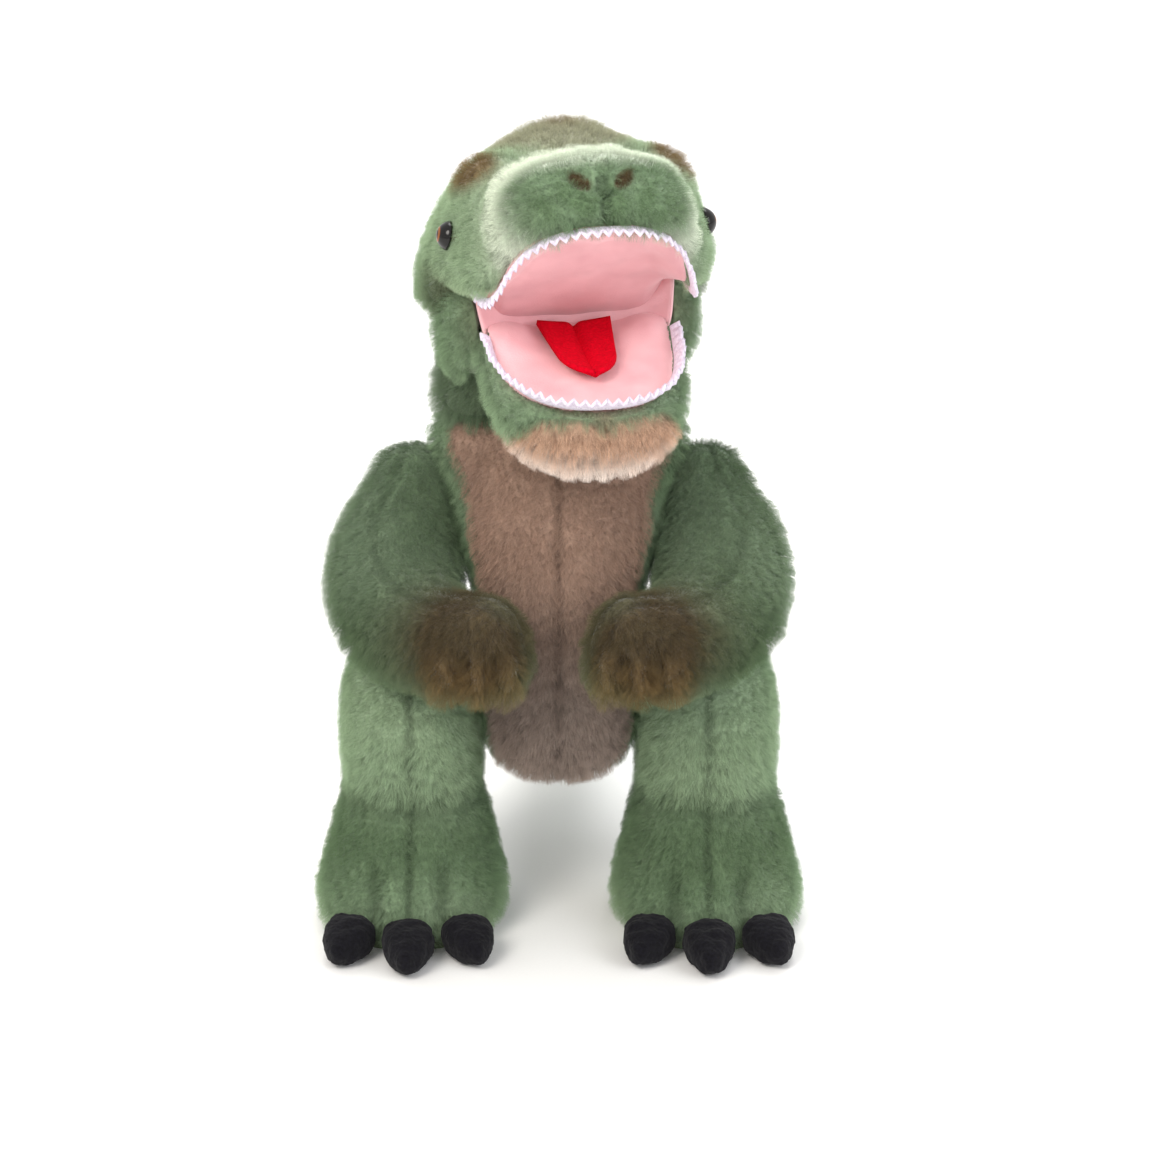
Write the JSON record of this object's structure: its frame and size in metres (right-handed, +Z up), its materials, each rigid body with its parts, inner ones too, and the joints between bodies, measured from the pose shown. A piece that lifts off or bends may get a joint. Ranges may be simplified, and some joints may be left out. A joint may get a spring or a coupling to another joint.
{
  "type": "stuffed dinosaur",
  "caption": "Standing plush tyrannosaur with an open felt-toothed mouth, bent arms, stout legs with felt claws and a tapering tail.",
  "frame": {"origin": "bottom centre of the whole toy's box, on the floor between its feet and tail", "axes": "+Z up, -Y the way the toy's body faces, +X its own left"},
  "size_m": [0.1752, 0.2419, 0.2991],
  "materials": {
    "plush_green": "long pile plush",
    "plush_green_dark": "long pile plush",
    "plush_green_light": "long pile plush",
    "plush_brown": "short pile plush",
    "plush_tan": "pile plush",
    "fibre_filling": "loose polyester fibre",
    "pink_lining": "brushed knit",
    "white_felt": "felt with a pinked edge",
    "red_felt": "felt",
    "black_felt": "felt",
    "eye_acrylic": "polished",
    "washer_plastic": "moulded"
  },
  "bodies": {
    "torso": {"belly_left": "plush_brown", "belly_right": "plush_brown", "back_left": "plush_green", "back_right": "plush_green", "torso_filling": "fibre_filling"},
    "neck": {"neck_left": "plush_green", "neck_right": "plush_green", "neck_filling": "fibre_filling"},
    "head": {"muzzle_left": "plush_green_light", "muzzle_right": "plush_green_light", "cheek_left": "plush_green", "cheek_right": "plush_green", "crown_gusset": "plush_green_dark", "head_filling": "fibre_filling", "palate_lining": "pink_lining", "upper_teeth": "white_felt", "eye_left": "eye_acrylic", "eye_right": "eye_acrylic", "eye_washer_left": "washer_plastic", "eye_washer_right": "washer_plastic"},
    "jaw": {"chin_panel": "plush_tan", "jaw_side_left": "plush_green", "jaw_side_right": "plush_green", "jaw_filling": "fibre_filling", "jaw_lining": "pink_lining", "lower_teeth": "white_felt", "tongue": "red_felt"},
    "tail": {"tail_left": "plush_green", "tail_right": "plush_green", "tail_filling": "fibre_filling"},
    "arm_left": {"arm_outer_left": "plush_green_dark", "arm_inner_left": "plush_green", "arm_filling_left": "fibre_filling"},
    "leg_left": {"leg_outer_left": "plush_green_light", "leg_inner_left": "plush_green", "leg_filling_left": "fibre_filling", "sole_left": "plush_green_dark", "claw_inner_left": "black_felt", "claw_middle_left": "black_felt", "claw_outer_left": "black_felt"},
    "arm_right": {"arm_outer_right": "plush_green_dark", "arm_inner_right": "plush_green", "arm_filling_right": "fibre_filling"},
    "leg_right": {"leg_outer_right": "plush_green_light", "leg_inner_right": "plush_green", "leg_filling_right": "fibre_filling", "sole_right": "plush_green_dark", "claw_inner_right": "black_felt", "claw_middle_right": "black_felt", "claw_outer_right": "black_felt"}
  },
  "joints": [
    {"name": "neck_turn", "type": "hinge", "parent": "torso", "child": "neck", "pos_m": [0, -0.02684, 0.188], "axis": [0, 0, 1], "range_deg": [-37, 13], "stiffness_Nm_per_rad": 1.2},
    {"name": "neck_nod", "type": "hinge", "parent": "neck", "child": "head", "pos_m": [0, -0.02684, 0.202], "axis": [-0.9781, -0.2079, 0], "range_deg": [-10, 15], "stiffness_Nm_per_rad": 2.5},
    {"name": "jaw_close", "type": "hinge", "parent": "head", "child": "jaw", "pos_m": [0.00395, -0.04542, 0.224], "axis": [-0.9781, -0.2079, 0], "range_deg": [-6, 25], "stiffness_Nm_per_rad": 0.5},
    {"name": "shoulder_left", "type": "hinge", "parent": "torso", "child": "arm_left", "pos_m": [0.0526, -0.03683, 0.16], "axis": [-0.4983, 0, 0.867], "range_deg": [-3, 55], "stiffness_Nm_per_rad": 0.9},
    {"name": "shoulder_right", "type": "hinge", "parent": "torso", "child": "arm_right", "pos_m": [-0.0526, -0.03683, 0.16], "axis": [-0.4983, 0, -0.867], "range_deg": [-3, 55], "stiffness_Nm_per_rad": 0.9},
    {"name": "hip_left", "type": "hinge", "parent": "torso", "child": "leg_left", "pos_m": [0.0291, -0.04283, 0.08], "axis": [-1, 0, 0], "range_deg": [-15, 18], "stiffness_Nm_per_rad": 6},
    {"name": "hip_right", "type": "hinge", "parent": "torso", "child": "leg_right", "pos_m": [-0.0291, -0.04283, 0.08], "axis": [-1, 0, 0], "range_deg": [-15, 18], "stiffness_Nm_per_rad": 6},
    {"name": "tail_wag", "type": "hinge", "parent": "torso", "child": "tail", "pos_m": [0, 0.00739, 0.078], "axis": [0, 0, 1], "range_deg": [-20, 20], "stiffness_Nm_per_rad": 1}
  ]
}
